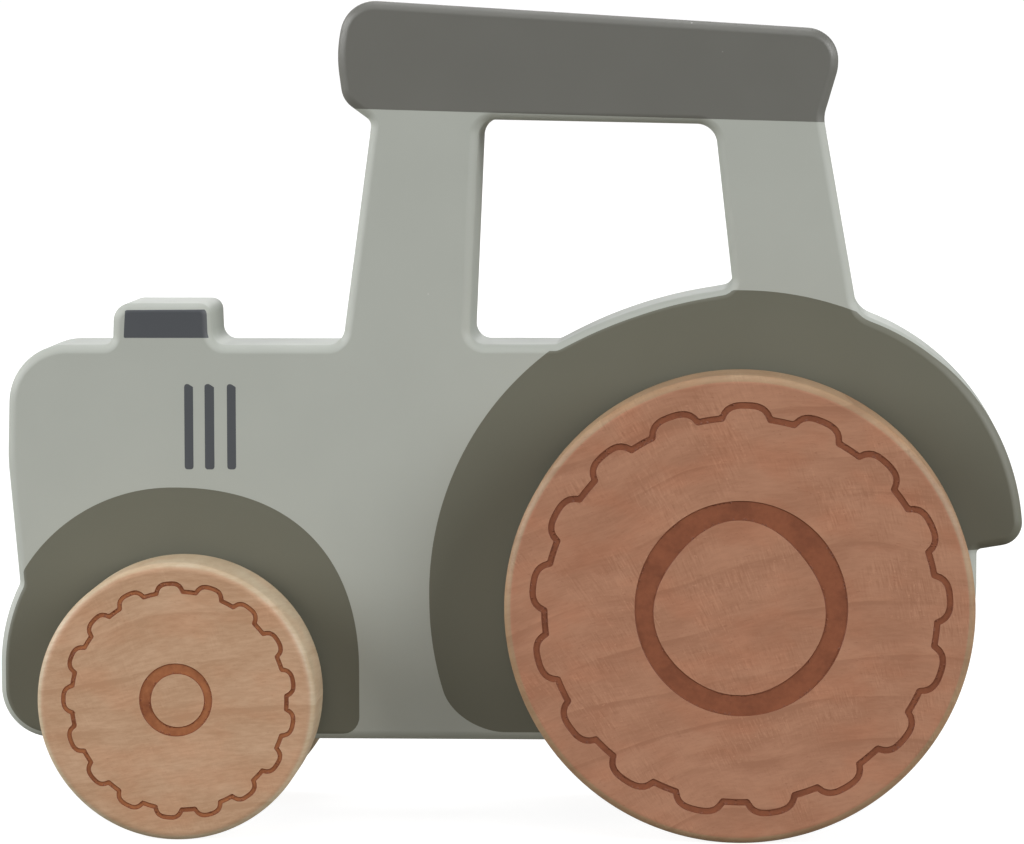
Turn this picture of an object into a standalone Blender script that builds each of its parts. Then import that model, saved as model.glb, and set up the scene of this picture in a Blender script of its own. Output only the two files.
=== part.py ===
"""Wooden push-along tractor: a slab body with a grip window, two dowel axles and four solid wheels.

Metres, +Z up. The nose points along -X and the axles run along Y. The origin is on the ground,
under the middle of the tractor's length and of its width.
"""

import math

import bmesh
import bpy
from mathutils import Matrix, Vector

MM = 0.001
NAME = "wooden_tractor"

SHARP_EDGE = math.radians(35)    # faces that meet at more than this are not shaded smooth
WELD_DISTANCE = 0.01 * MM

# Fits between the pieces
GLUE_GAP = 0.3 * MM
RUNNING_GAP = 0.5 * MM
SIDE_PLAY = 1.5 * MM

# Body slab
BODY_THICKNESS = 20.0 * MM
BODY_EDGE_RADIUS = 1.4 * MM
BODY_EDGE_STEPS = 3
ARC_STEP = math.radians(15)
CHORD = 4.0                  # longest straight piece of an arc, in millimetres

# Axle dowels
AXLE_RADIUS = 4.0 * MM
AXLE_CHAMFER = 0.5 * MM
AXLE_DEPTH_IN_WHEEL = 9.0 * MM
AXLE_SIDES = 24

# Wheels
WHEEL_THICKNESS = 15.0 * MM
WHEEL_EDGE_RADIUS = 1.4 * MM
WHEEL_EDGE_STEPS = 3
GROOVE_DEPTH = 0.35 * MM
TREAD_LOBES = 17
TREAD_POINTS_PER_LOBE = 6
TREAD_LOBE_SHARE = 0.64      # part of the pitch that a lobe takes up
TREAD_LOBE_POWERS = (2.5, 0.6)   # flattens the lobe's top and rounds its shoulders

FRONT = {
    "x": -50.3 * MM,
    "radius": 21.5 * MM,
    "steps": 40,
    "ring": (4.1 * MM, 5.6 * MM),
    "tread": (17.0 * MM, 18.4 * MM),
    "tread_width": 0.7 * MM,
    "tread_turn": math.radians(9.9),
}
REAR = {
    "x": 36.3 * MM,
    "radius": 36.0 * MM,
    "steps": 56,
    "ring": (13.0 * MM, 16.3 * MM),
    "tread": (29.5 * MM, 31.4 * MM),
    "tread_width": 1.0 * MM,
    "tread_turn": math.radians(3.7),
}

# Corners of the slab's side view, in millimetres: (x, z, radius of the rounding)
BODY_CORNERS = [
    (-80.0, 13.5, 8.0),      # under the front fender
    (-80.0, 31.4, 28.4),     # front fender, round the front wheel
    (-76.9, 37.9, 1.5),      # notch above the fender
    (-78.6, 57.5, 30.0),     # grille
    (-78.1, 75.5, 9.2),      # nose
    (-61.9, 75.5, 1.5),      # foot of the exhaust
    (-61.7, 82.0, 2.8),
    (-46.5, 82.0, 1.8),
    (-46.3, 75.5, 2.2),
    (-25.8, 75.5, 2.6),      # foot of the front pillar
    (-21.1, 110.3, 1.5),
    (-25.6, 113.6, 4.0),     # front end of the roof
    (-26.6, 121.0, 20.0),
    (-24.9, 129.3, 5.5),
    (51.5, 124.4, 5.0),      # rear end of the roof
    (51.3, 118.3, 6.0),
    (49.1, 110.9, 5.0),
    (54.4, 80.6, 4.0),       # foot of the rear pillar
    (77.8, 71.15, 36.8),     # rear fender
    (80.35, 44.9, 3.6),      # tip of the rear fender
    (73.0, 43.7, 0.8),
    (73.0, 13.5, 25.0),      # behind the rear wheel
]
WINDOW_CORNERS = [
    (-6.0, 75.6, 2.4),
    (7.6, 75.6, 1.2),
    (19.7, 81.8, 70.0),      # follows the rear fender
    (35.1, 84.4, 1.8),
    (32.3, 109.8, 3.2),
    (-4.4, 110.6, 2.6),
]

PAINT_GREEN = (0.352, 0.381, 0.343)
MAPLE = (0.445, 0.262, 0.156)
STAINED_MAPLE = (0.361, 0.181, 0.112)
BEECH = (0.520, 0.340, 0.200)


def clear_scene():
    for obj in list(bpy.data.objects):
        bpy.data.objects.remove(obj, do_unlink=True)


def new_collection(name):
    collection = bpy.data.collections.new(name)
    bpy.context.scene.collection.children.link(collection)
    return collection


def new_material(name, colour, roughness):
    material = bpy.data.materials.new(name)
    material.use_nodes = True
    shader = material.node_tree.nodes["Principled BSDF"]
    shader.inputs["Base Color"].default_value = (*colour, 1.0)
    shader.inputs["Roughness"].default_value = roughness
    shader.inputs["Metallic"].default_value = 0.0
    material.diffuse_color = (*colour, 1.0)
    return material


def move_to(obj, collection):
    for old in list(obj.users_collection):
        old.objects.unlink(obj)
    collection.objects.link(obj)


def corner_arc(before, corner, after, radius):
    """Points of the arc that rounds one corner and touches both of its sides."""
    back = (before - corner).normalized()
    ahead = (after - corner).normalized()
    half_angle = back.angle(ahead) / 2
    reach = radius / math.tan(half_angle)
    centre = corner + (back + ahead).normalized() * (radius / math.sin(half_angle))
    start = corner + back * reach - centre
    end = corner + ahead * reach - centre
    sweep = math.copysign(math.pi - 2 * half_angle, start.cross(end))
    steps = max(2, math.ceil(abs(sweep) / ARC_STEP), math.ceil(abs(sweep) * radius / CHORD))
    return [centre + Matrix.Rotation(sweep * i / steps, 2) @ start for i in range(steps + 1)]


def rounded_outline(corners):
    """Closed outline in metres from corners in millimetres."""
    outline = []
    for index, (x, z, radius) in enumerate(corners):
        before = Vector(corners[index - 1][:2])
        after = Vector(corners[(index + 1) % len(corners)][:2])
        outline += corner_arc(before, Vector((x, z)), after, radius)
    return [point * MM for point in outline]


def flat_solid(name, outlines, thickness, edge_radius=0.0, edge_steps=1):
    """Mesh object from closed outlines in its local XY plane, with optional rounded edges."""
    curve = bpy.data.curves.new(name, "CURVE")
    curve.dimensions = "2D"
    curve.fill_mode = "BOTH"
    curve.extrude = thickness / 2 - edge_radius
    curve.bevel_depth = edge_radius
    curve.bevel_resolution = edge_steps - 1
    curve.offset = -edge_radius
    for outline in outlines:
        spline = curve.splines.new("POLY")
        spline.points.add(len(outline) - 1)
        for point, (x, y) in zip(spline.points, outline):
            point.co = (x, y, 0.0, 1.0)
        spline.use_cyclic_u = True
    flat = bpy.data.objects.new(name + "_outline", curve)
    bpy.context.scene.collection.objects.link(flat)
    depsgraph = bpy.context.evaluated_depsgraph_get()
    mesh = bpy.data.meshes.new_from_object(flat.evaluated_get(depsgraph))
    weld(mesh)
    solid = bpy.data.objects.new(name, mesh)
    solid.matrix_world = flat.matrix_world
    bpy.data.objects.remove(flat)
    bpy.data.curves.remove(curve)
    return solid


def weld(mesh):
    work = bmesh.new()
    work.from_mesh(mesh)
    bmesh.ops.remove_doubles(work, verts=work.verts, dist=WELD_DISTANCE)
    bmesh.ops.recalc_face_normals(work, faces=work.faces)
    work.to_mesh(mesh)
    work.free()


def finish_shading(obj, material):
    obj.data.materials.clear()
    obj.data.materials.append(material)
    obj.data.shade_smooth()
    obj.data.set_sharp_from_angle(angle=SHARP_EDGE)


def add_cylinder(name, radius, length, sides, location):
    """Cylinder along Y."""
    bpy.ops.mesh.primitive_cylinder_add(vertices=sides, radius=radius, depth=length,
                                        location=location, rotation=(math.radians(90), 0, 0))
    cylinder = bpy.context.active_object
    cylinder.name = name
    return cylinder


def cut(obj, cutter, cutters):
    move_to(cutter, cutters)
    cutter.hide_render = True
    cutter.display_type = "WIRE"
    boolean = obj.modifiers.new("cut_" + cutter.name, "BOOLEAN")
    boolean.operation = "DIFFERENCE"
    boolean.solver = "EXACT"
    boolean.object = cutter


def axle_centre(axle):
    """The wheels stand on the ground, so an axle is as high as its wheels' radius."""
    return Vector((axle["x"], 0.0, axle["radius"]))


def build_body(parts, cutters):
    """Slab with the grip window and two axle holes."""
    outlines = [rounded_outline(BODY_CORNERS), rounded_outline(WINDOW_CORNERS)]
    body = flat_solid("body", outlines, BODY_THICKNESS, BODY_EDGE_RADIUS, BODY_EDGE_STEPS)
    body.rotation_euler = (math.radians(90), 0, 0)
    parts.objects.link(body)
    for name, axle in (("front", FRONT), ("rear", REAR)):
        hole = add_cylinder(name + "_axle_hole", AXLE_RADIUS + RUNNING_GAP, 2 * BODY_THICKNESS,
                            AXLE_SIDES, axle_centre(axle))
        cut(body, hole, cutters)
    finish_shading(body, new_material("green_paint", PAINT_GREEN, 0.35))


def build_axle(name, axle, parent, parts):
    """Dowel through the body, with its ends in the wheels' blind bores."""
    length = BODY_THICKNESS + 2 * SIDE_PLAY + 2 * AXLE_DEPTH_IN_WHEEL
    dowel = add_cylinder(name, AXLE_RADIUS, length, AXLE_SIDES, (0, 0, 0))
    dowel.parent = parent
    chamfer = dowel.modifiers.new("chamfer", "BEVEL")
    chamfer.width = AXLE_CHAMFER
    chamfer.segments = 1
    chamfer.angle_limit = math.radians(60)
    move_to(dowel, parts)
    finish_shading(dowel, new_material(name + "_beech", BEECH, 0.6))


def quarter_arc(radius, height, direction):
    """Quarter circle of a wheel's rim, from its outer face (1) or towards its inner face (-1)."""
    centre_r = radius - WHEEL_EDGE_RADIUS
    centre_z = direction * (height - WHEEL_EDGE_RADIUS)
    points = []
    for i in range(WHEEL_EDGE_STEPS + 1):
        angle = math.radians(90) * i / WHEEL_EDGE_STEPS
        points.append((centre_r + WHEEL_EDGE_RADIUS * math.sin(angle),
                       centre_z + direction * WHEEL_EDGE_RADIUS * math.cos(angle)))
    return points if direction > 0 else points[::-1]


def wheel_profile(axle):
    """Half section from the middle of the outer face, down the rim, to the end of the blind bore."""
    half = WHEEL_THICKNESS / 2
    ring_inner, ring_outer = axle["ring"]
    bore = AXLE_RADIUS + GLUE_GAP
    bore_end = -half + AXLE_DEPTH_IN_WHEEL + GLUE_GAP
    floor = half - GROOVE_DEPTH
    profile = [(0.0, half), (ring_inner, half), (ring_inner, floor), (ring_outer, floor), (ring_outer, half)]
    profile += quarter_arc(axle["radius"], half, 1)
    profile += quarter_arc(axle["radius"], half, -1)
    profile += [(bore, -half), (bore, bore_end), (0.0, bore_end)]
    return profile


def tread_radius(axle, phase):
    """Radius of the engraved line: wide rounded lobes with short flat notches between them."""
    notch, lobe = axle["tread"]
    across = abs((phase % 1.0) - 0.5) * 2 / TREAD_LOBE_SHARE
    flatten, shoulder = TREAD_LOBE_POWERS
    height = (1 - across ** flatten) ** shoulder if across < 1 else 0.0
    return notch + (lobe - notch) * height


def tread_outline(axle, side_offset):
    """One edge of the engraved line, offset in or out from its middle."""
    points = []
    total = TREAD_LOBES * TREAD_POINTS_PER_LOBE
    for i in range(total):
        angle = axle["tread_turn"] + math.tau * i / total
        phase = i / TREAD_POINTS_PER_LOBE + 0.5
        radius = tread_radius(axle, phase) + side_offset
        points.append(Vector((radius * math.cos(angle), radius * math.sin(angle))))
    return points


def build_wheel(name, axle, side, parent, parts, cutters, material):
    """Turned wheel; side is -1 on the left (-Y) and 1 on the right, where the outer face points."""
    half_width = axle["tread_width"] / 2
    mesh = bpy.data.meshes.new(name)
    profile = wheel_profile(axle)
    edges = [(i, i + 1) for i in range(len(profile) - 1)]
    mesh.from_pydata([(r, 0.0, z) for r, z in profile], edges, [])
    wheel = bpy.data.objects.new(name, mesh)
    parts.objects.link(wheel)
    wheel.parent = parent
    middle = BODY_THICKNESS / 2 + SIDE_PLAY + WHEEL_THICKNESS / 2
    wheel.location = (0, side * middle, 0)
    wheel.rotation_euler = (math.radians(-90 * side), 0, 0)

    screw = wheel.modifiers.new("turn", "SCREW")
    screw.steps = axle["steps"]
    screw.render_steps = axle["steps"]
    screw.use_merge_vertices = True
    screw.merge_threshold = WELD_DISTANCE

    outlines = [tread_outline(axle, half_width), tread_outline(axle, -half_width)]
    groove = flat_solid(name + "_tread_groove", outlines, 2 * GROOVE_DEPTH)
    cutters.objects.link(groove)
    groove.parent = wheel
    groove.location = (0, 0, WHEEL_THICKNESS / 2)
    cut(wheel, groove, cutters)
    finish_shading(wheel, material)


def build_wheelset(end, axle, wood, parts, cutters):
    """An axle and its two wheels turn as one, about the empty at the axle's middle."""
    pivot = bpy.data.objects.new(end + "_wheelset", None)
    pivot.empty_display_size = 0.01
    pivot.location = axle_centre(axle)
    parts.objects.link(pivot)
    build_axle(end + "_axle", axle, pivot, parts)
    for side_name, side in (("left", -1), ("right", 1)):
        name = f"{end}_{side_name}_wheel"
        material = new_material(name + "_wood", wood, 0.5)
        build_wheel(name, axle, side, pivot, parts, cutters, material)


def main():
    clear_scene()
    parts = new_collection(NAME)
    cutters = new_collection(NAME + "_cutters")
    build_body(parts, cutters)
    build_wheelset("front", FRONT, MAPLE, parts, cutters)
    build_wheelset("rear", REAR, STAINED_MAPLE, parts, cutters)


main()
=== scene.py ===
"""Looks of the wooden push-along tractor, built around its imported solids.

A painted slab body with printed fenders, roof, exhaust and vents, four turned wheels with burnt-in
lines, and two dowel axles. The nose points along -X, the axles run along Y, and the left side (-Y)
faces the camera. Shapes are worked out in millimetres and written to meshes in metres.
"""

import math

import bmesh
import bpy
import numpy as np
from mathutils import Matrix, Vector
from mathutils.geometry import delaunay_2d_cdt


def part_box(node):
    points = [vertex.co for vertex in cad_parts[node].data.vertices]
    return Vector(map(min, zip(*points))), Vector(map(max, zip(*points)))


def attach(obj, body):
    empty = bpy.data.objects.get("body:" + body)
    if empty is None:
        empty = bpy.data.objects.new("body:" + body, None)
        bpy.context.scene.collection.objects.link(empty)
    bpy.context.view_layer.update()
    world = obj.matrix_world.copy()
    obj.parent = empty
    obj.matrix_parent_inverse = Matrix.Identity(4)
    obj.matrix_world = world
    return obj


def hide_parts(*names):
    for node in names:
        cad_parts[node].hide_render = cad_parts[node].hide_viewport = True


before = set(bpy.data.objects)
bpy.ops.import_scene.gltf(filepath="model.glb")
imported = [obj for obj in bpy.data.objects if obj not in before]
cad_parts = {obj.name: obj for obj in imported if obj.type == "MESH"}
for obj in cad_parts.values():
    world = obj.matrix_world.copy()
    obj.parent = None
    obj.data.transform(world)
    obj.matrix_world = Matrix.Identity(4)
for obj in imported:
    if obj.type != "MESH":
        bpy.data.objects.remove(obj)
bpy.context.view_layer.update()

MM = 0.001
ON_LINE = 1e-4               # a vertex this near a cutting line, in mm, counts as on it
ON_FACE = 0.01               # a point this near a wheel's outer face, in mm, counts as on it
HALVINGS = 9                 # how often an edge is halved to find where a cutting line crosses it
SLIVER = 1e-3                # smaller triangles, in square mm, lie on an outline and are dropped
SAME_POINT = 1e-7            # points this near each other, in mm, are one in a triangulation

# Kinds of face: the numbers of a piece's materials
BODY_PAINT, ROOF, FENDERS, DARK_PRINT, BORE = range(5)
TURNED_WOOD, BURNT, INSIDE = range(3)
DOWEL_END = 1

# Slab: corners of its side view as (x, z, radius of the rounding)
BODY_CORNERS = [
    (-80.0, 13.5, 8.0),      # under the front fender
    (-80.0, 31.4, 28.4),     # front fender, round the front wheel
    (-76.9, 37.9, 1.5),      # notch above the fender
    (-78.6, 57.5, 30.0),     # grille
    (-78.1, 75.5, 9.2),      # nose
    (-61.9, 75.5, 1.5),      # foot of the exhaust
    (-61.7, 82.0, 2.8),
    (-46.5, 82.0, 1.8),
    (-46.3, 75.5, 2.2),
    (-25.8, 75.5, 2.6),      # foot of the front pillar
    (-21.1, 110.3, 1.5),
    (-25.6, 113.6, 4.0),     # front end of the roof
    (-26.6, 121.0, 20.0),
    (-24.9, 129.3, 5.5),
    (51.5, 124.4, 5.0),      # rear end of the roof
    (51.3, 118.3, 6.0),
    (49.1, 110.9, 5.0),
    (54.4, 80.6, 4.0),       # foot of the rear pillar
    (77.8, 71.15, 36.8),     # rear fender
    (80.35, 44.9, 3.6),      # tip of the rear fender
    (73.0, 43.7, 0.8),
    (73.0, 13.5, 25.0),      # behind the rear wheel
]
WINDOW_CORNERS = [
    (-6.0, 75.6, 2.4),
    (7.6, 75.6, 1.2),
    (19.7, 81.8, 70.0),      # follows the rear fender
    (35.1, 84.4, 1.8),
    (32.3, 109.8, 3.2),
    (-4.4, 110.6, 2.6),
]
BODY_EDGE_RADIUS = 1.45
BODY_EDGE_SHAPE = 1.18       # 1 is a quarter circle, 2 a straight chamfer
OUTLINE_STEP = 0.7
ARC_STEP = math.radians(9)
EDGE_ROWS = 9                # rows of faces round one rounded edge
SIDE_ROWS = 8                # and between two rounded edges
FACE_GRID = 1.1              # spacing of the points on the slab's flat faces
DETAIL_GRID = 0.3            # and under the small prints
BODY_BORE_RADIUS = 4.5
BODY_BORE_STEPS = 64

# Printed paint on the slab
ROOF_LINE = ((-20.8, 112.2), (48.8, 110.1))
REAR_FENDER = {
    "centre": (36.3, 35.5),
    "radius": 48.6,
    "bulge": (0.55, 0.2),                # of the circle, at the upper left and right
    "bottom": 14.8,
    "corner": 6.5,                       # rounding of the lower corners
}
REAR_FENDER_END = (56.0, 43.7)           # behind the wheel the print stops at this x and z
FRONT_FENDER = {
    "centre": (-51.8, 24.7),
    "radius": 28.45,
    "bulge": (0.35, 1.15),
    "bottom": 14.4,
    "corner": 2.7,
}
EXHAUST = (-59.8, -46.4, 76.6, 80.95)    # left, right, bottom, top
EXHAUST_FLARE = (0.25, -0.1, 0.1)        # outward shifts of the lower left, lower right, upper right
EXHAUST_CORNER = 0.18
VENTS = [(-50.6, -49.2), (-47.4, -45.9), (-43.9, -42.5)]
VENT_HEIGHTS = (56.0, 69.4)
VENT_CORNER = 0.45
VENT_CUT = (0.1, -0.1)                   # the slanted upper end's middle, from the middle of the top
VENT_CUT_FACING = (0.55, 0.9)
# How far down a rounded edge the printing pad lays paint, by place along x
PAD_REACH = ((-80.0, 0.2), (-50.0, 0.19), (-48.5, 0.42), (-45.5, 0.42), (-44.0, 0.19), (20.0, 0.12),
             (40.0, 0.25), (66.0, 0.6), (79.0, 1.6))

# Wheels
WHEEL_EDGE_RADIUS = 1.4
GROOVE_DEPTH = 0.15
GROOVE_WALL = 0.12           # width of a groove's sloping wall
RING_STEP = 0.9              # spacing of the rings of points on a wheel's face
FINE_RING_STEP = 0.28        # and near the engraved lines
FINE_MARGIN = 0.9            # how far past the engraved lines the rings are that close
TREAD_FINE_MARGIN = 1.1      # and inside the tread line
RING_APPROACH = 0.6          # most of the gap to the close rings that one step covers
RIM_CLEARANCE = 0.5          # between the outermost ring and the rim
TREAD_LOBES = 17
TREAD_POINTS_PER_LOBE = 24
TREAD_LOBE_SHARE = 0.64      # part of the pitch that a lobe takes up
TREAD_LOBE_POWERS = (3.0, 0.62)          # how flat a lobe's top is, and how steep its shoulders
TREAD_MARGIN = 2.0           # farther past the notches or lobes, the tread line isn't measured
BORE_RADIUS = 4.3
BORE_DEPTH = 9.3
DOWEL_STEPS = 96
DOWEL_CHAMFER = 0.5
# The engraved lines are a little out of true. A ring has a radius, a shift of its middle and, by the
# number of lobes round it, swells; the tread line has a notch radius and a lobe radius.
WHEELS = {
    "front": {
        "steps": 180,
        "ring_inner": (4.1, (0.33, 0.25), {}),
        "ring_outer": (5.65, (0.05, 0.33), {}),
        "tread": (17.05, 18.35),
        "tread_width": 0.7,
        "tread_turn": math.radians(9.9),
        "tread_stretch": (0.974, 0.99),
        "tread_shift": (0.55, 0.2),
    },
    "rear": {
        "steps": 240,
        "ring_inner": (13.0, (0.05, 0.15), {2: 0.15, 3: 0.25, 4: 0.25}),
        "ring_outer": (16.4, (0.3, 0.28), {2: 0.12}),
        "tread": (29.5, 31.4),
        "tread_width": 1.0,
        "tread_turn": math.radians(3.7),
        "tread_stretch": (1.016, 1.0),
        "tread_shift": (0.2, 0.0),
    },
}


# ---------------------------------------------------------------- plane geometry

def unit(vector):
    return vector / np.linalg.norm(vector)


def corner_arc(before, corner, after, radius):
    """Arc that rounds one corner of an outline with wood on its right: points and outward directions."""
    back = unit(before - corner)
    ahead = unit(after - corner)
    half_angle = math.acos(back @ ahead) / 2
    centre = corner + unit(back + ahead) * radius / math.sin(half_angle)
    start = (corner + back * radius / math.tan(half_angle) - centre) / radius
    turn = math.copysign(1.0, ahead[0] * back[1] - ahead[1] * back[0])
    sweep = turn * (math.pi - 2 * half_angle)
    count = max(3, math.ceil(abs(sweep) / ARC_STEP), math.ceil(abs(sweep) * radius / OUTLINE_STEP))
    angles = np.linspace(0.0, sweep, count + 1)
    spokes = np.stack([start[0] * np.cos(angles) - start[1] * np.sin(angles),
                       start[0] * np.sin(angles) + start[1] * np.cos(angles)], 1)
    return centre + spokes * radius, -spokes * turn


def rounded_outline(corners):
    """Closed outline with evenly spaced points: points and outward directions."""
    places = [np.array(corner[:2]) for corner in corners]
    arcs = []
    for i, corner in enumerate(corners):
        arcs.append(corner_arc(places[i - 1], places[i], places[(i + 1) % len(places)], corner[2]))
    points, outward = [], []
    for i, (arc_points, arc_outward) in enumerate(arcs):
        next_start = arcs[(i + 1) % len(arcs)][0][0]
        run = next_start - arc_points[-1]
        count = math.ceil(np.linalg.norm(run) / OUTLINE_STEP)
        shares = np.arange(1, count)[:, None] / count
        points += [arc_points, arc_points[-1] + run * shares]
        outward += [arc_outward, np.repeat(arc_outward[-1:], max(count - 1, 0), 0)]
    return np.concatenate(points), np.concatenate(outward)


def circle(centre, radius, count, turn=1.0):
    """Closed circle: points and directions away from its middle; turn -1 runs it clockwise."""
    angles = turn * math.tau * np.arange(count) / count
    spokes = np.stack([np.cos(angles), np.sin(angles)], 1)
    return np.array(centre) + radius * spokes, spokes


def in_batches(points, measure, size=2000):
    return np.concatenate([measure(points[i:i + size]) for i in range(0, len(points), size)])


def enclosed(points, outlines):
    """True for points inside an odd number of the closed outlines."""
    start = np.concatenate(outlines)
    end = np.concatenate([np.roll(outline, -1, 0) for outline in outlines])

    def odd_crossings(batch):
        x, y = batch[:, :1], batch[:, 1:]
        spans = (start[:, 1] > y) != (end[:, 1] > y)
        rise = np.where(end[:, 1] == start[:, 1], 1.0, end[:, 1] - start[:, 1])
        at = start[:, 0] + (end[:, 0] - start[:, 0]) * (y - start[:, 1]) / rise
        return (spans & (x < at)).sum(1) % 2 == 1

    return in_batches(points, odd_crossings)


def distance_to(points, outline):
    """Distance from points to a closed outline."""
    start = outline
    run = np.roll(outline, -1, 0) - start
    length = (run ** 2).sum(1)

    def nearest(batch):
        away = batch[:, None, :] - start
        share = np.clip((away * run).sum(2) / length, 0.0, 1.0)
        return np.sqrt(((away - share[..., None] * run) ** 2).sum(2).min(1))

    return in_batches(points, nearest, 600)


def flat_triangles(outlines, scattered):
    """Triangles over the area that the closed outlines enclose: their points, then the scattered ones."""
    points = np.concatenate([*outlines, scattered])
    edges = []
    first = 0
    for outline in outlines:
        count = len(outline)
        edges += [(first + i, first + (i + 1) % count) for i in range(count)]
        first += count
    made, _, faces, origins, _, _ = delaunay_2d_cdt([Vector(p) for p in points], edges, [], 0, SAME_POINT)
    index = np.array([origin[0] for origin in origins])
    faces = index[np.array(faces)]
    ahead, aside = points[faces[:, 1]] - points[faces[:, 0]], points[faces[:, 2]] - points[faces[:, 0]]
    area = np.abs(ahead[:, 0] * aside[:, 1] - ahead[:, 1] * aside[:, 0]) / 2
    return faces[(area > SLIVER) & enclosed(points[faces].mean(1), outlines)]


def hexagonal_grid(left, right, bottom, top, step):
    rows = np.arange(bottom, top, step * math.sqrt(0.75))
    columns = np.arange(left, right, step)
    x = columns[None, :] + step / 2 * (np.arange(len(rows)) % 2)[:, None]
    z = np.repeat(rows[:, None], len(columns), 1)
    return np.stack([x.ravel(), z.ravel()], 1)


# ---------------------------------------------------------------- mesh building

class Solid:
    """A mesh in the making: vertices with their true surface direction, and faces with a kind."""

    def __init__(self):
        self.points = []
        self.directions = []
        self.faces = []
        self.kinds = []
        self.count = 0

    def add_points(self, points, directions):
        """Adds vertices and returns their numbers."""
        points = np.asarray(points, float)
        self.points.append(points)
        self.directions.append(np.broadcast_to(directions, points.shape))
        numbers = np.arange(self.count, self.count + len(points))
        self.count += len(points)
        return numbers

    def add_faces(self, faces, kind=0):
        self.faces += faces
        self.kinds += [kind] * len(faces)

    def add_strip(self, one_row, next_row, kind=0):
        """Quads between two closed rows of vertices."""
        corners = zip(one_row, np.roll(one_row, -1), np.roll(next_row, -1), next_row)
        self.add_faces(list(corners), kind)

    def to_bmesh(self):
        work = bmesh.new()
        direction = work.verts.layers.float_vector.new("direction")
        verts = []
        for point, toward in zip(np.concatenate(self.points), np.concatenate(self.directions)):
            vert = work.verts.new(point)
            vert[direction] = toward
            verts.append(vert)
        for face, kind in zip(self.faces, self.kinds):
            work.faces.new([verts[i] for i in face]).material_index = kind
        work.verts.index_update()
        return work


def score(work, value):
    """Cuts the faces along the line where value(points) is zero."""
    work.verts.index_update()
    places = np.array([vert.co for vert in work.verts])
    values = value(places)
    on_line = {vert for vert in work.verts if abs(values[vert.index]) < ON_LINE}
    crossed = [edge for edge in work.edges
               if values[edge.verts[0].index] * values[edge.verts[1].index] < 0
               and not on_line.intersection(edge.verts)]
    ends = np.array([[vert.index for vert in edge.verts] for edge in crossed])
    start = places[ends[:, 0]]
    run = places[ends[:, 1]] - start
    starts_inside = values[ends[:, 0]] > 0
    low, high = np.zeros(len(crossed)), np.ones(len(crossed))
    for _ in range(HALVINGS):
        middle = (low + high) / 2
        not_yet = (value(start + run * middle[:, None]) > 0) == starts_inside
        low = np.where(not_yet, middle, low)
        high = np.where(not_yet, high, middle)
    for edge, share in zip(crossed, (low + high) / 2):
        _, vert = bmesh.utils.edge_split(edge, edge.verts[0], share)
        on_line.add(vert)
    for face in list(work.faces):
        touched = [vert for vert in face.verts if vert in on_line]
        if len(touched) == 2 and not work.edges.get(touched):
            bmesh.utils.face_split(face, *touched)
    work.verts.index_update()


def make_object(name, work, materials, flat_faces=()):
    """Mesh object from a bmesh in mm, which is freed. A face's kind is the number of its material.

    Faces of a flat kind are shaded flat, the others by the true direction of the surface.
    """
    layer = work.verts.layers.float_vector["direction"]
    work.verts.index_update()
    directions = np.array([vert[layer] for vert in work.verts])
    mesh = bpy.data.meshes.new(name)
    bmesh.ops.scale(work, vec=(MM, MM, MM), verts=work.verts)
    work.to_mesh(mesh)
    work.free()
    mesh.attributes.remove(mesh.attributes["direction"])
    for material in materials:
        mesh.materials.append(material)
    mesh.shade_smooth()
    directions /= np.linalg.norm(directions, axis=1)[:, None]
    normals = np.empty((len(mesh.loops), 3))
    for polygon in mesh.polygons:
        corners = list(polygon.loop_indices)
        if polygon.material_index in flat_faces:
            normals[corners] = polygon.normal
        else:
            normals[corners] = directions[list(polygon.vertices)]
    mesh.normals_split_custom_set(normals.tolist())
    made = bpy.data.objects.new(name, mesh)
    bpy.context.scene.collection.objects.link(made)
    return made


# ---------------------------------------------------------------- prints on the slab

def inside_circle(x, z, fender):
    """How far inside a fender's circle, which bulges a little to the upper left and right."""
    dx = x - fender["centre"][0]
    dz = z - fender["centre"][1]
    distance = np.hypot(dx, dz)
    slant = 2 * dx * np.maximum(dz, 0.0) / np.maximum(distance, 1.0) ** 2
    left, right = fender["bulge"]
    bulge = left * np.maximum(-slant, 0.0) + right * np.maximum(slant, 0.0) ** 2
    return fender["radius"] + bulge - distance


def inside_arch(x, z, fender):
    """Like inside_circle above the middle, with upright sides below it."""
    below = np.minimum(z - fender["centre"][1], 0.0)
    return inside_circle(x, z - below, fender)


def rounded_and(a, b, radius):
    """Inside both a and b, with their corner rounded."""
    corner = radius - np.hypot(np.maximum(radius - a, 0.0), np.maximum(radius - b, 0.0))
    return corner + np.maximum(np.minimum(a, b) - radius, 0.0)


def rear_fender_print(x, z):
    fender = REAR_FENDER
    arch = rounded_and(inside_circle(x, z, fender), z - fender["bottom"], fender["corner"])
    end_x, end_z = REAR_FENDER_END
    return np.minimum(arch, np.maximum(end_x - x, z - end_z))


def front_fender_print(x, z):
    fender = FRONT_FENDER
    return rounded_and(inside_arch(x, z, fender), z - fender["bottom"], fender["corner"])


def exhaust_print(x, z):
    """Rectangle with rounded corners, a little flared at the lower left and higher at the right."""
    left, right, bottom, top = EXHAUST
    lower_left, lower_right, upper_right = EXHAUST_FLARE
    down = (top - z) / (top - bottom)
    across = np.minimum(x - left + lower_left * down, right + lower_right * down - x)
    slanted_top = top + upper_right * (x - left) / (right - left)
    return rounded_and(across, np.minimum(z - bottom, slanted_top - z), EXHAUST_CORNER)


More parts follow.
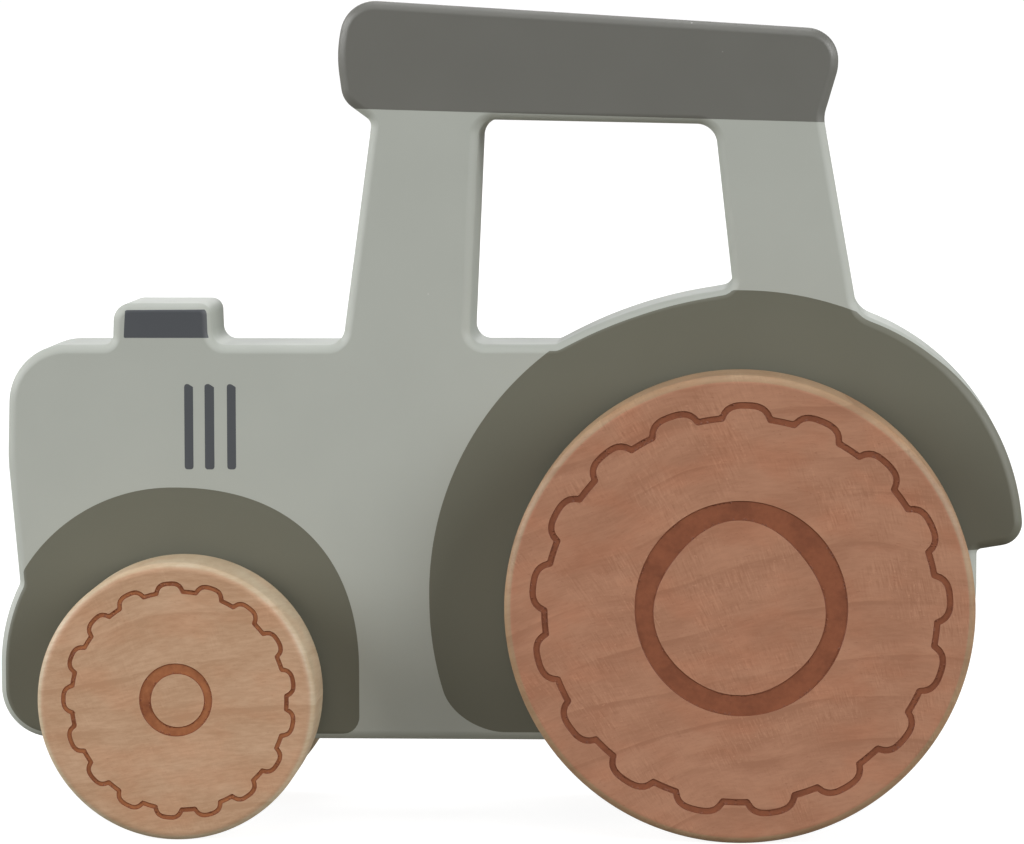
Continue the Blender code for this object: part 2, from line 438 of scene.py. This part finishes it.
def vent_print(x, z):
    """Three upright strokes with round lower ends and slanted upper ends."""
    bottom, top = VENT_HEIGHTS
    cut_x, cut_z = VENT_CUT
    facing_x, facing_z = VENT_CUT_FACING
    inside = np.full(np.shape(x), -np.inf)
    for left, right in VENTS:
        stroke = rounded_and(np.minimum(x - left, right - x), np.minimum(z - bottom, top - z), VENT_CORNER)
        cut = (top + cut_z - z) * facing_z - (x - (left + right) / 2 - cut_x) * facing_x
        inside = np.maximum(inside, np.minimum(stroke, cut))
    return inside


def roof_print(x, z):
    (x0, z0), (x1, z1) = ROOF_LINE
    return z - (z0 + (x - x0) * (z1 - z0) / (x1 - x0))


def on_faces(shape):
    """A print on the flat faces that runs a little way down the rounded edges."""
    def value(points):
        depth = body_half_thickness - np.abs(points[:, 1])
        reach = np.interp(points[:, 0], *zip(*PAD_REACH))
        return np.minimum(shape(points[:, 0], points[:, 2]), reach - depth)
    return value


def all_round(shape):
    """Paint that covers the flat faces and the sides."""
    def value(points):
        return shape(points[:, 0], points[:, 2])
    return value


# ---------------------------------------------------------------- body

def slab_rows():
    """Rows over the slab's edge, left face to right face: inset, y, lean to the side, lean along y."""
    rows = []
    flat = body_half_thickness - BODY_EDGE_RADIUS
    for i in range(EDGE_ROWS + 1):
        angle = math.radians(90) * i / EDGE_ROWS
        out = math.sin(angle) ** BODY_EDGE_SHAPE
        forward = math.cos(angle) ** BODY_EDGE_SHAPE
        lean = unit(np.array([math.sin(angle) ** (2 - BODY_EDGE_SHAPE),
                              -math.cos(angle) ** (2 - BODY_EDGE_SHAPE)]))
        rows.append((BODY_EDGE_RADIUS * (1 - out), -flat - BODY_EDGE_RADIUS * forward, *lean))
    middle = [(0.0, -flat + 2 * flat * i / SIDE_ROWS, 1.0, 0.0) for i in range(1, SIDE_ROWS)]
    mirrored = [(inset, -y, lean, -along) for inset, y, lean, along in reversed(rows)]
    return rows + middle + mirrored


def upright(flat_points, y):
    """Points of the side view, placed at y."""
    return np.insert(flat_points, 1, y, axis=1)


def in_box(points, box, margin):
    left, right, bottom, top = box
    x, z = points[:, 0], points[:, 1]
    return (x > left - margin) & (x < right + margin) & (z > bottom - margin) & (z < top + margin)


def slab_grid(outlines):
    """Points scattered over the slab's flat faces, clear of the outlines, denser under small prints."""
    left, bottom = np.concatenate(outlines).min(0)
    right, top = np.concatenate(outlines).max(0)
    grid = hexagonal_grid(left, right, bottom, top, FACE_GRID)
    margin = 2 * DETAIL_GRID
    for left, right, bottom, top in (EXHAUST, (VENTS[0][0], VENTS[-1][1], *VENT_HEIGHTS)):
        box = (left - margin, right + margin, bottom - margin, top + margin)
        outside = ~in_box(grid, box, FACE_GRID / 2)
        grid = np.concatenate([grid[outside], hexagonal_grid(*box, DETAIL_GRID)])
    grid = grid[enclosed(grid, outlines)]
    clearance = np.min([distance_to(grid, outline) for outline in outlines], axis=0)
    return grid[clearance > DETAIL_GRID]


def print_paint(work):
    """Cuts the faces along the borders of the prints and gives them their paint."""
    prints = [(ROOF, all_round(roof_print)), (FENDERS, on_faces(rear_fender_print)),
              (FENDERS, on_faces(front_fender_print)), (DARK_PRINT, on_faces(exhaust_print)),
              (DARK_PRINT, on_faces(vent_print))]
    for _, value in prints:
        score(work, value)
    faces = [face for face in work.faces if face.material_index == BODY_PAINT]
    middles = np.array([face.calc_center_median() for face in faces])
    for kind, value in prints:
        for face, inside in zip(faces, value(middles) > 0):
            if inside:
                face.material_index = kind


def build_body(materials):
    solid = Solid()
    rims = {-1: [], 1: []}
    outlines = []
    for corners in (BODY_CORNERS, WINDOW_CORNERS):
        points, outward = rounded_outline(corners)
        rows = []
        for inset, y, lean, along in slab_rows():
            place = upright(points - outward * inset, y)
            rows.append(solid.add_points(place, upright(outward * lean, along)))
        for one_row, next_row in zip(rows, rows[1:]):
            solid.add_strip(one_row, next_row)
        rims[-1].append(rows[0])
        rims[1].append(rows[-1])
        outlines.append(points - outward * BODY_EDGE_RADIUS)
    for centre in axle_centres.values():
        points, _ = circle((centre.x, centre.z), BODY_BORE_RADIUS, BODY_BORE_STEPS)
        for side in (-1, 1):
            place = upright(points, side * body_half_thickness)
            rims[side].append(solid.add_points(place, (0.0, side, 0.0)))
        solid.add_strip(rims[-1][-1], rims[1][-1], BORE)
        outlines.append(points)
    grid = slab_grid(outlines)
    triangles = flat_triangles(outlines, grid)
    for side in (-1, 1):
        scattered = solid.add_points(upright(grid, side * body_half_thickness), (0.0, side, 0.0))
        numbers = np.concatenate([*rims[side], scattered])[triangles]
        solid.add_faces([tuple(face) for face in (numbers if side < 0 else numbers[:, ::-1])])
    work = solid.to_bmesh()
    print_paint(work)
    return make_object("painted_body", work, materials, flat_faces=(BORE,))


# ---------------------------------------------------------------- wheels

def tread_line(wheel):
    """Middle of the engraved tread line: wide rounded lobes with short flat notches between them."""
    notch, lobe = wheel["tread"]
    flatten, shoulder = TREAD_LOBE_POWERS
    steps = np.arange(TREAD_LOBES * TREAD_POINTS_PER_LOBE)
    angle = wheel["tread_turn"] + math.tau * steps / len(steps)
    phase = (steps / TREAD_POINTS_PER_LOBE + 0.5) % 1.0
    across = np.minimum(np.abs(phase - 0.5) * 2 / TREAD_LOBE_SHARE, 1.0)
    radius = notch + (lobe - notch) * (1 - across ** flatten) ** shoulder
    line = np.stack([radius * np.cos(angle), radius * np.sin(angle)], 1)
    return line * wheel["tread_stretch"] + wheel["tread_shift"]


def inside_contour(points, contour):
    """How far inside a nearly round contour of the face the points lie."""
    base, shift, swells = contour
    away = points - shift
    turn = np.arctan2(away[:, 0], away[:, 1])
    reach = base + sum(swell * np.cos(lobes * turn) for lobes, swell in swells.items())
    return reach - np.hypot(away[:, 0], away[:, 1])


def ring_of_points(radius, step, turn):
    count = max(6, round(math.tau * radius / step))
    angles = math.tau * (np.arange(count) + turn) / count
    return radius * np.stack([np.cos(angles), np.sin(angles)], 1)


def face_points(wheel, rim):
    """Points over a wheel's outer face, close together along the engraved lines."""
    half_line = wheel["tread_width"] / 2
    notch, lobe = wheel["tread"]
    fine_bands = [(wheel["ring_inner"][0] - FINE_MARGIN, wheel["ring_outer"][0] + FINE_MARGIN),
                  (notch - half_line - TREAD_FINE_MARGIN, lobe + half_line + FINE_MARGIN)]
    rings = [np.zeros((1, 2))]
    radius = 0.0
    turn = 0.0
    while True:
        fine = any(low < radius < high for low, high in fine_bands)
        step = FINE_RING_STEP if fine else RING_STEP
        gaps = [low - radius for low, _ in fine_bands if low > radius]
        radius += min(step, max(FINE_RING_STEP, gaps[0] * RING_APPROACH)) if gaps else step
        if radius > rim - RIM_CLEARANCE:
            return np.concatenate(rings)
        turn = 0.5 - turn
        rings.append(ring_of_points(radius, step, turn))


def groove_inset(wheel):
    """How far inside the engraved lines a point of the face lies; negative outside them."""
    line = tread_line(wheel)
    notch, lobe = wheel["tread"]

    def value(points):
        flat = points[:, :2]
        radius = np.hypot(flat[:, 0], flat[:, 1])
        on_face = points[:, 2] > wheel["half"] - ON_FACE
        ring = np.minimum(inside_contour(flat, wheel["ring_outer"]),
                          -inside_contour(flat, wheel["ring_inner"]))
        near_tread = (radius > notch - TREAD_MARGIN) & (radius < lobe + TREAD_MARGIN) & on_face
        ring[near_tread] = wheel["tread_width"] / 2 - distance_to(flat[near_tread], line)
        return np.where(on_face, ring, -1.0)

    return value


def wheel_rows(wheel):
    """Rows from the outer face's rim to the inner face's: radius, height, lean out, lean up."""
    rim = wheel["radius"] - WHEEL_EDGE_RADIUS
    flat = wheel["half"] - WHEEL_EDGE_RADIUS
    rows = []
    for i in range(EDGE_ROWS + 1):
        angle = math.radians(90) * i / EDGE_ROWS
        out, up = math.sin(angle), math.cos(angle)
        rows.append((rim + WHEEL_EDGE_RADIUS * out, flat + WHEEL_EDGE_RADIUS * up, out, up))
    middle = [(wheel["radius"], flat - 2 * flat * i / SIDE_ROWS, 1.0, 0.0) for i in range(1, SIDE_ROWS)]
    mirrored = [(radius, -height, out, -up) for radius, height, out, up in reversed(rows)]
    return rows + middle + mirrored


def at_height(points, height):
    """Points of a turned piece's cross-section, placed at a height along its axis."""
    return np.insert(points, 2, height, axis=1)


def engrave(work, wheel):
    """Cuts the burnt lines into the outer face: sloping walls round a flat floor."""
    inset = groove_inset(wheel)
    score(work, inset)
    score(work, lambda points: inset(points) - GROOVE_WALL)
    depths = inset(np.array([vert.co for vert in work.verts]))
    faces = [face for face in work.faces if face.material_index == TURNED_WOOD]
    middles = inset(np.array([face.calc_center_median() for face in faces]))
    for face, depth in zip(faces, middles):
        if depth > 0:
            face.material_index = BURNT
    for vert, depth in zip(work.verts, depths):
        if depth > GROOVE_WALL - 2 * ON_LINE:
            vert.co.z -= GROOVE_DEPTH


def build_wheel(name, wheel, side, centre, materials):
    """Turned wheel with its outer face up in its own frame, laid on its side at the axle's end."""
    solid = Solid()
    steps = wheel["steps"]
    rows = []
    for radius, height, out, up in wheel_rows(wheel):
        points, spokes = circle((0, 0), radius, steps, -1.0)
        rows.append(solid.add_points(at_height(points, height), at_height(spokes * out, up)))
    points, _ = circle((0, 0), BORE_RADIUS, steps, -1.0)
    for height in (-wheel["half"], BORE_DEPTH - wheel["half"]):
        rows.append(solid.add_points(at_height(points, height), (0.0, 0.0, -1.0)))
    for one_row, next_row in zip(rows, rows[1:-1]):
        solid.add_strip(one_row, next_row)
    solid.add_strip(rows[-2], rows[-1], INSIDE)
    solid.add_faces([tuple(rows[-1])], INSIDE)

    rim = wheel["radius"] - WHEEL_EDGE_RADIUS
    outline, _ = circle((0, 0), rim, steps, -1.0)
    scattered = face_points(wheel, rim)
    triangles = flat_triangles([outline], scattered)
    numbers = solid.add_points(at_height(scattered, wheel["half"]), (0.0, 0.0, 1.0))
    numbers = np.concatenate([rows[0], numbers])
    solid.add_faces([tuple(face) for face in numbers[triangles]])
    work = solid.to_bmesh()
    engrave(work, wheel)
    made = make_object(name, work, materials, flat_faces=(BURNT, INSIDE))
    made.location = centre
    made.rotation_euler = (math.radians(-90 * side), 0, 0)
    return made


def build_dowel(name, box, material):
    """Turned dowel with chamfered ends, in one wood but with its ends shaded flat."""
    low, high = box
    radius = (high.z - low.z) / 2 / MM
    half = (high.y - low.y) / 2 / MM
    solid = Solid()
    rows = []
    for row_radius, height in ((radius - DOWEL_CHAMFER, half), (radius, half - DOWEL_CHAMFER),
                               (radius, DOWEL_CHAMFER - half), (radius - DOWEL_CHAMFER, -half)):
        points, spokes = circle((0, 0), row_radius, DOWEL_STEPS, -1.0)
        rows.append(solid.add_points(at_height(points, height), at_height(spokes, 0.0)))
    for one_row, next_row in zip(rows, rows[1:]):
        solid.add_strip(one_row, next_row)
    solid.add_faces([tuple(rows[0][::-1]), tuple(rows[-1])], DOWEL_END)
    made = make_object(name, solid.to_bmesh(), [material, material], flat_faces=(DOWEL_END,))
    made.location = (low + high) / 2
    made.rotation_euler = (math.radians(90), 0, 0)
    return made


# ---------------------------------------------------------------- materials

def srgb(red, green, blue):
    """Linear colour from screen values 0 to 255."""
    return tuple(((value / 255 + 0.055) / 1.055) ** 2.4 for value in (red, green, blue)) + (1.0,)


WHITE = (1.0, 1.0, 1.0, 1.0)
DUST = (0.7, 0.7, 0.68, 1.0)
WARMER = (1.03, 0.9, 0.84, 1.0)          # multiplies a wood's colour in its warm blotches
SATIN = 0.5                              # roughness of paint and wood
YEAR_OF_GROWTH = 7.5                     # mm from one growth line to the next
GROWTH_BEND = 9.0                        # how far the growth lines wander, in mm


class Graph:
    """A material's or world's node tree, with short calls for the nodes that this script uses."""

    def __init__(self, owner):
        owner.use_nodes = True
        self.owner = owner
        self.tree = owner.node_tree

    def connect(self, socket, value):
        if isinstance(value, bpy.types.NodeSocket):
            self.tree.links.new(value, socket)
        else:
            socket.default_value = value

    def fill(self, node, inputs):
        for socket, value in inputs.items():
            self.connect(node.inputs[socket], value)
        return node

    def add(self, kind, inputs, **settings):
        node = self.tree.nodes.new("ShaderNode" + kind)
        for setting, value in settings.items():
            setattr(node, setting, value)
        return self.fill(node, inputs)

    def math(self, operation, a, b=0.0):
        return self.add("Math", {0: a, 1: b}, operation=operation).outputs[0]

    def place(self):
        """Position on the piece, in mm."""
        where = self.add("TexCoord", {}).outputs["Object"]
        return self.add("VectorMath", {0: where, "Scale": 1 / MM}, operation="SCALE").outputs[0]

    def shifted(self, where, offset):
        return self.add("VectorMath", {0: where, 1: offset}, operation="ADD").outputs[0]

    def split(self, vector):
        return self.add("SeparateXYZ", {0: vector}).outputs

    def joined(self, x, y, z):
        return self.add("CombineXYZ", {0: x, 1: y, 2: z}).outputs[0]

    def stretched(self, where, sizes):
        """Coordinates in which a feature of these sizes, in mm, is one unit long each way."""
        scale = tuple(1 / size for size in sizes)
        return self.add("VectorMath", {0: where, 1: scale}, operation="MULTIPLY").outputs[0]

    def noise(self, where, sizes, detail=2.0, roughness=0.5):
        """Noise with features of these sizes in mm."""
        return self.add("TexNoise", {"Vector": self.stretched(where, sizes), "Scale": 1.0,
                                     "Detail": detail, "Roughness": roughness}).outputs[0]

    def spread(self, value, low, high, to_low=0.0, to_high=1.0):
        return self.add("MapRange", {"Value": value, "From Min": low, "From Max": high,
                                     "To Min": to_low, "To Max": to_high},
                        interpolation_type="SMOOTHSTEP").outputs[0]

    def mix(self, share, a, b, blend="MIX"):
        return self.add("Mix", {0: share, 6: a, 7: b}, data_type="RGBA", blend_type=blend).outputs[2]

    def bump(self, height, depth, before=None):
        """Normal for a height of 0 to 1 that stands for depth in mm."""
        inputs = {"Height": height, "Strength": 1.0, "Distance": depth * MM}
        if before is not None:
            inputs["Normal"] = before
        return self.add("Bump", inputs).outputs[0]

    def finish(self, inputs):
        """Sets the Principled BSDF's inputs and returns the material."""
        self.fill(self.tree.nodes["Principled BSDF"], inputs)
        return self.owner


def paint(name, colour, roughness=SATIN):
    """Sprayed paint on sanded wood: faint mottling, telegraphed grain, orange peel and dust specks."""
    graph = Graph(bpy.data.materials.new(name))
    where = graph.place()
    tone = graph.spread(graph.noise(where, (14, 14, 14)), 0.25, 0.75, 0.985, 1.015)
    toned = graph.mix(1.0, colour, graph.joined(tone, tone, tone), "MULTIPLY")
    cells = graph.add("TexVoronoi", {"Vector": graph.stretched(where, (11, 11, 11)), "Scale": 1.0})
    dust = graph.spread(cells.outputs["Distance"], 0.017, 0.009)
    toned = graph.mix(graph.math("MULTIPLY", dust, 0.35), toned, DUST)
    grain = graph.noise(where, (22, 22, 0.7))
    peel = graph.noise(where, (0.9, 0.9, 0.9))
    normal = graph.bump(peel, 0.003, graph.bump(grain, 0.003))
    uneven = graph.noise(where, (8, 8, 8))
    rough = graph.spread(uneven, 0.3, 0.7, roughness - 0.02, roughness + 0.03)
    return graph.finish({"Base Color": toned, "Roughness": rough, "Normal": normal})


def growth_lines(graph, radius, board):
    """Share of late wood at radius: a soft band that ends in a sharp line each year, faded in places."""
    rings = graph.math("ADD", graph.math("DIVIDE", radius, YEAR_OF_GROWTH),
                       graph.noise(board, (90, 11, 200), 1.0))
    saw = graph.math("FRACT", rings)
    band = graph.math("MULTIPLY", graph.spread(saw, 0.45, 0.96), 0.35)
    line = graph.math("MULTIPLY", graph.spread(saw, 0.84, 0.96), 0.65)
    late = graph.math("MULTIPLY", graph.math("ADD", band, line), graph.spread(saw, 1.0, 0.97))
    fade = graph.spread(graph.noise(board, (16, 5, 60)), 0.35, 0.65, 0.2, 1.0)
    return graph.math("MULTIPLY", late, fade)


def wood(name, light, dark, pith, face_tint=None, tint_from=0.93, shift=0.0, flecked=1.0, fibrous=0.18):
    """Turned maple: growth lines about a far pith, ray flecks across them, pores and soft blotches.

    face_tint multiplies the colour of the flat end faces and leaves the tread bare; on the roundings
    between them it fades out towards the lean given by tint_from. On the rear wheels the tint is a
    stain; on the front ones it only makes the faces redder than the rounding and tread.
    """
    graph = Graph(bpy.data.materials.new(name))
    where = graph.shifted(graph.place(), (0.0, 0.0, shift))
    bend = graph.noise(where, (30, 30, 60), 1.0)
    x, y, height = graph.split(graph.shifted(where, (-pith[0], -pith[1], 0.0)))
    y = graph.math("ADD", y, graph.math("MULTIPLY", bend, GROWTH_BEND))
    squares = graph.math("ADD", graph.math("MULTIPLY", x, x), graph.math("MULTIPLY", y, y))
    radius = graph.math("SQRT", squares)
    along = graph.math("MULTIPLY", graph.math("ARCTAN2", x, y), math.hypot(*pith))
    board = graph.joined(along, radius, height)
    rays = graph.joined(graph.math("ADD", along, graph.math("MULTIPLY", radius, 0.2)), radius, height)

    late = growth_lines(graph, radius, board)
    flecks = graph.noise(rays, (0.26, 2.2, 6.0), 1.0)
    patches = graph.spread(graph.noise(where, (8, 8, 12)), 0.4, 0.68)
    pale = graph.math("MULTIPLY", graph.spread(flecks, 0.52, 0.74), patches)
    deep = graph.math("MULTIPLY", graph.spread(flecks, 0.46, 0.28), patches)
    pores = graph.spread(graph.noise(rays, (0.7, 0.22, 4.0), 1.0), 0.66, 0.8)
    specks = graph.spread(graph.noise(where, (0.5, 0.5, 4.0), 1.0), 0.68, 0.78)
    specks = graph.math("MULTIPLY", specks, patches)
    fibres = graph.spread(graph.noise(board, (2.2, 0.45, 8.0), 3.0, 0.7), 0.25, 0.75, -fibrous, fibrous)
    tone = graph.spread(graph.noise(board, (9, 4, 14), 3.0), 0.25, 0.75, 0.2, 0.8)
    for share, weight in ((fibres, 1.0), (late, 0.6), (deep, 0.4 * flecked), (pale, -0.45 * flecked),
                          (pores, 0.4), (specks, -0.7 * flecked)):
        tone = graph.math("ADD", tone, graph.math("MULTIPLY", share, weight))
    colour = graph.mix(tone, light, dark)
    warm = graph.spread(graph.noise(graph.shifted(where, (40, 0, 0)), (9, 5, 10), 3.0), 0.42, 0.7)
    warmed = graph.mix(1.0, colour, WARMER, "MULTIPLY")
    colour = graph.mix(graph.math("MULTIPLY", warm, 0.6), colour, warmed)
    if face_tint is not None:
        faced = graph.split(graph.add("TexCoord", {}).outputs["Normal"])[2]
        tinted = graph.mix(1.0, colour, face_tint, "MULTIPLY")
        colour = graph.mix(graph.spread(faced, tint_from, 0.985), colour, tinted)
    relief = graph.math("SUBTRACT", graph.math("MULTIPLY", flecks, 0.3), pores)
    rough = graph.math("ADD", SATIN, graph.math("MULTIPLY", late, 0.08))
    return graph.finish({"Base Color": colour, "Roughness": rough, "Normal": graph.bump(relief, 0.015)})


def burnt(name, floor, edge, face_height):
    """Burnt-in groove in a face: uneven brown floor with darker edges."""
    graph = Graph(bpy.data.materials.new(name))
    where = graph.place()
    height = graph.split(where)[2]
    low = graph.spread(height, face_height - GROOVE_DEPTH * 0.95, face_height - GROOVE_DEPTH * 0.8)
    uneven = graph.noise(where, (0.8, 0.8, 0.8), 3.0, 0.6)
    patches = graph.noise(where, (5, 5, 5))
    tone = graph.math("ADD", graph.math("MULTIPLY", uneven, 0.4), graph.math("MULTIPLY", patches, 0.8))
    colour = graph.mix(graph.spread(tone, 0.35, 0.9), floor, edge)
    colour = graph.mix(low, colour, edge)
    return graph.finish({"Base Color": colour, "Roughness": 0.6, "Normal": graph.bump(uneven, 0.05)})


def studio_floor(name):
    """Matt white floor: bright and faintly shadowed to the camera, a weak glow to everything else."""
    graph = Graph(bpy.data.materials.new(name))
    shade = graph.spread(graph.noise(graph.place(), (40, 40, 40)), 0.3, 0.7, 0.27, 0.28)
    seen = graph.add("LightPath", {}).outputs["Is Camera Ray"]
    albedo = graph.math("MULTIPLY", shade, seen)
    glow = graph.add("MapRange", {"Value": seen, "To Min": FLOOR_GLOW, "To Max": FLOOR_SHOWN})
    return graph.finish({"Base Color": graph.joined(albedo, albedo, albedo), "Roughness": 1.0,
                         "Specular IOR Level": 0.0, "Emission Strength": glow.outputs[0],
                         "Emission Color": graph.mix(seen, FLOOR_COLOUR, WHITE)})


# ---------------------------------------------------------------- stage

CAMERA_PLACE = (44.0, -784.0, 122.5)
CAMERA_YAW = math.radians(3.2)           # to the left, towards the nose
CAMERA_PITCH = math.radians(4.35)
CAMERA_ROLL = math.radians(-0.14)
CAMERA_LENS = 175.4
CAMERA_REACH = 20.0                      # farthest that the camera sees, in metres


def build_camera():
    ahead = Vector((-math.sin(CAMERA_YAW) * math.cos(CAMERA_PITCH),
                    math.cos(CAMERA_YAW) * math.cos(CAMERA_PITCH), -math.sin(CAMERA_PITCH)))
    right = Vector((math.cos(CAMERA_YAW), math.sin(CAMERA_YAW), 0.0))
    up = right.cross(ahead)
    turned_right = right * math.cos(CAMERA_ROLL) + up * math.sin(CAMERA_ROLL)
    turned_up = up * math.cos(CAMERA_ROLL) - right * math.sin(CAMERA_ROLL)
    lens = bpy.data.cameras.new("camera")
    lens.lens = CAMERA_LENS
    lens.clip_end = CAMERA_REACH
    camera = bpy.data.objects.new("camera", lens)
    camera.matrix_world = Matrix.Translation(Vector(CAMERA_PLACE) * MM) @ Matrix(
        (turned_right, turned_up, -ahead)).transposed().to_4x4()
    bpy.context.scene.collection.objects.link(camera)
    bpy.context.scene.camera = camera


# Soft boxes round the toy: azimuth (0 is the camera's side, negative is the nose's), elevation, strength
SOFT_BOXES = {
    "front_left": (-55, 20, 1.3),
    "nose_side": (-80, 20, 1.05),
    "back_left": (-105, 20, 0.8),
    "front_right": (55, 20, 1.63),
    "tail_side": (80, 20, 0.65),
    "back_right": (105, 20, 0.43),
    "high_front": (0, 50, 0.42),
    "overhead": (0, 90, 0.4),
    "high_back": (180, 72, 0.5),
    "back": (180, 25, 0.65),
}
SOFT_BOX_SPREAD = math.radians(36)
FLOOR_RADIUS = 6.0                       # in metres
FLOOR_STEPS = 96
FLOOR_GLOW = 0.26                        # light that the floor sends up to the toy
FLOOR_SHOWN = 0.9                        # and how bright its shadowed parts look
FLOOR_COLOUR = (1.0, 0.96, 0.84, 1.0)    # of that light
BACKDROP_SHOWN = 1.05
BACKDROP_MIRRORED = 0.2                  # share of the backdrop that reflections pick up
BACKDROP_FADE = (0.1, 0.5)               # it fades in as the reflected rays turn towards y


def add_soft_box(name, azimuth, elevation, strength):
    turn, lift = math.radians(azimuth), math.radians(elevation)
    toward = Vector((math.sin(turn) * math.cos(lift), -math.cos(turn) * math.cos(lift), math.sin(lift)))
    lamp = bpy.data.lights.new(name, "SUN")
    lamp.energy = strength
    lamp.angle = SOFT_BOX_SPREAD
    light = bpy.data.objects.new(name, lamp)
    light.rotation_euler = toward.to_track_quat("Z", "Y").to_euler()
    bpy.context.scene.collection.objects.link(light)


def build_floor():
    bpy.ops.mesh.primitive_circle_add(vertices=FLOOR_STEPS, radius=FLOOR_RADIUS, fill_type="NGON")
    floor = bpy.context.active_object
    floor.name = "studio_floor"
    floor.data.materials.append(studio_floor("studio_floor"))


def build_backdrop():
    """World that is white to the camera, shows faintly in reflections behind the toy and lights nothing."""
    world = bpy.data.worlds.new("studio")
    graph = Graph(world)
    ray = graph.add("LightPath", {}).outputs
    heading = graph.split(graph.add("TexCoord", {}).outputs["Generated"])[1]
    low, high = BACKDROP_FADE
    behind = graph.add("MapRange", {"Value": heading, "From Min": low, "From Max": high,
                                    "To Max": BACKDROP_MIRRORED}).outputs[0]
    mirrored = graph.math("MULTIPLY", behind, ray["Is Glossy Ray"])
    seen = graph.math("MAXIMUM", ray["Is Camera Ray"], mirrored)
    strength = graph.math("MULTIPLY", seen, BACKDROP_SHOWN)
    graph.fill(graph.tree.nodes["Background"], {"Color": WHITE, "Strength": strength})
    bpy.context.scene.world = world


def build_stage():
    build_floor()
    build_backdrop()
    for name, (azimuth, elevation, strength) in SOFT_BOXES.items():
        add_soft_box(name, azimuth, elevation, strength)
    bpy.context.scene.view_settings.view_transform = "Standard"


# ---------------------------------------------------------------- assembly

body_low, body_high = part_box("body")
body_half_thickness = (body_high.y - body_low.y) / 2 / MM
axle_centres = {}
for end in WHEELS:
    low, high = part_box(end + "_axle")
    axle_centres[end] = (low + high) / 2 / MM
    low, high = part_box(end + "_left_wheel")
    WHEELS[end]["radius"] = (high.z - low.z) / 2 / MM
    WHEELS[end]["half"] = (high.y - low.y) / 2 / MM

MINT = srgb(178, 182, 175)
ROOF_GREY = srgb(112, 112, 107)
OLIVE_GREY = srgb(109, 109, 96)
SLATE = srgb(80, 83, 88)
BARE_WOOD = (srgb(214, 186, 150), srgb(190, 158, 120))

bare_wood = wood("bare_wood", *BARE_WOOD, pith=(20, -90))
body = build_body([paint("mint_paint", MINT), paint("roof_paint", ROOF_GREY, 0.4),
                   paint("fender_paint", OLIVE_GREY), paint("slate_print", SLATE), bare_wood])
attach(body, "tractor_body")
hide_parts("body")

WHEEL_WOOD = {
    "front": {
        "light": srgb(208, 191, 164),
        "dark": srgb(188, 166, 136),
        "pith": (14, -120),
        # the front faces are not stained, only tinted redder and darker than the rounding and tread, fading
        # out gradually over the rounding
        "face_tint": (0.94, 0.73, 0.66, 1.0),
        "tint_from": 0.7,
        "flecked": 0.35,
        "fibrous": 0.32,
    },
    "rear": {
        "light": srgb(175, 145, 113),
        "dark": srgb(153, 121, 91),
        "pith": (28, -140),
        "face_tint": (1.14, 0.87, 0.91, 1.0),
        "tint_from": 0.93,
        "flecked": 1.0,
        "fibrous": 0.18,
    },
}
WOOD_SHIFT = 25.0            # sets the grain of the left and right wheels apart, in mm
# Floor and edge of the burnt-in lines
BURN = {
    "front": (srgb(171, 106, 64), srgb(126, 66, 34)),
    "rear": (srgb(144, 82, 52), srgb(118, 63, 37)),
}
for end, wheel in WHEELS.items():
    burn = burnt(end + "_burnt_lines", *BURN[end], wheel["half"])
    for side_name, side in (("left", -1), ("right", 1)):
        node = f"{end}_{side_name}_wheel"
        low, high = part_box(node)
        face_wood = wood(node + "_wood", shift=WOOD_SHIFT * side, **WHEEL_WOOD[end])
        made = build_wheel("turned_" + node, wheel, side, (low + high) / 2, [face_wood, burn, bare_wood])
        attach(made, end + "_wheelset")
        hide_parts(node)
    dowel = build_dowel(f"{end}_dowel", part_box(end + "_axle"), bare_wood)
    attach(dowel, end + "_wheelset")
    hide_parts(end + "_axle")

build_stage()
build_camera()
